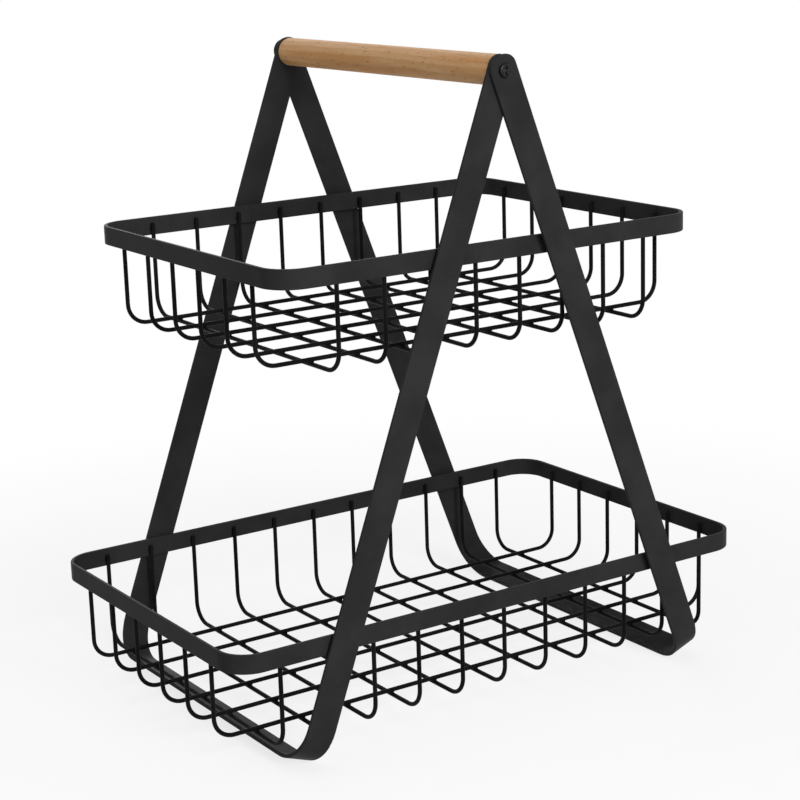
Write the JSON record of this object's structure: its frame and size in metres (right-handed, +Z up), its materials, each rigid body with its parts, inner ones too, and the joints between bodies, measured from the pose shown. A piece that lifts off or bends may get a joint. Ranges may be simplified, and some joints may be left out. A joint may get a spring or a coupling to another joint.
{
  "type": "tiered wire basket",
  "caption": "Tabletop fruit stand: crossed flat-strip frames with a wooden carrying handle and wire baskets that hang between the legs on pins and lift off.",
  "frame": {"origin": "on the table, under the middle of the stand", "axes": "+Z up, +X along the baskets' long side, +Y along the handle, away from the front"},
  "size_m": [0.325, 0.2116, 0.344],
  "materials": {
    "black_powder_coat": "satin black powder coat on steel strip and wire",
    "beech_wood": "clear matt lacquer on a turned beech dowel",
    "black_screw": "black plated steel screw"
  },
  "bodies": {
    "frame": {"inner_frame": "black_powder_coat", "outer_frame": "black_powder_coat", "lower_pin_back_left": "black_powder_coat", "lower_pin_back_right": "black_powder_coat", "lower_pin_front_left": "black_powder_coat", "lower_pin_front_right": "black_powder_coat", "upper_pin_back_left": "black_powder_coat", "upper_pin_back_right": "black_powder_coat", "upper_pin_front_left": "black_powder_coat", "upper_pin_front_right": "black_powder_coat"},
    "handle": {"handle": "beech_wood", "handle_screw_front": "black_screw", "handle_screw_back": "black_screw"},
    "upper_basket": {"upper_cross_wire_01": "black_powder_coat", "upper_cross_wire_02": "black_powder_coat", "upper_cross_wire_03": "black_powder_coat", "upper_cross_wire_04": "black_powder_coat", "upper_cross_wire_05": "black_powder_coat", "upper_cross_wire_06": "black_powder_coat", "upper_cross_wire_07": "black_powder_coat", "upper_cross_wire_08": "black_powder_coat", "upper_hook_back_left": "black_powder_coat", "upper_hook_back_right": "black_powder_coat", "upper_hook_front_left": "black_powder_coat", "upper_hook_front_right": "black_powder_coat", "upper_long_wire_1": "black_powder_coat", "upper_long_wire_2": "black_powder_coat", "upper_long_wire_3": "black_powder_coat", "upper_long_wire_4": "black_powder_coat", "upper_long_wire_5": "black_powder_coat", "upper_long_wire_6": "black_powder_coat", "upper_rim": "black_powder_coat"},
    "lower_basket": {"lower_cross_wire_01": "black_powder_coat", "lower_cross_wire_02": "black_powder_coat", "lower_cross_wire_03": "black_powder_coat", "lower_cross_wire_04": "black_powder_coat", "lower_cross_wire_05": "black_powder_coat", "lower_cross_wire_06": "black_powder_coat", "lower_cross_wire_07": "black_powder_coat", "lower_cross_wire_08": "black_powder_coat", "lower_cross_wire_09": "black_powder_coat", "lower_cross_wire_10": "black_powder_coat", "lower_cross_wire_11": "black_powder_coat", "lower_hook_back_left": "black_powder_coat", "lower_hook_back_right": "black_powder_coat", "lower_hook_front_left": "black_powder_coat", "lower_hook_front_right": "black_powder_coat", "lower_long_wire_1": "black_powder_coat", "lower_long_wire_2": "black_powder_coat", "lower_long_wire_3": "black_powder_coat", "lower_long_wire_4": "black_powder_coat", "lower_long_wire_5": "black_powder_coat", "lower_long_wire_6": "black_powder_coat", "lower_rim": "black_powder_coat"}
  },
  "joints": [
    {"name": "upper_basket_lift", "type": "slide", "parent": "frame", "child": "upper_basket", "axis": [0, 0, 1], "range_m": [0, 0.075]},
    {"name": "lower_basket_lift", "type": "slide", "parent": "frame", "child": "lower_basket", "axis": [0, 0, 1], "range_m": [0, 0.125]},
    {"name": "handle_turn", "type": "hinge", "parent": "frame", "child": "handle", "pos_m": [0, 0, 0.33594], "axis": [0, 1, 0], "continuous": true}
  ]
}
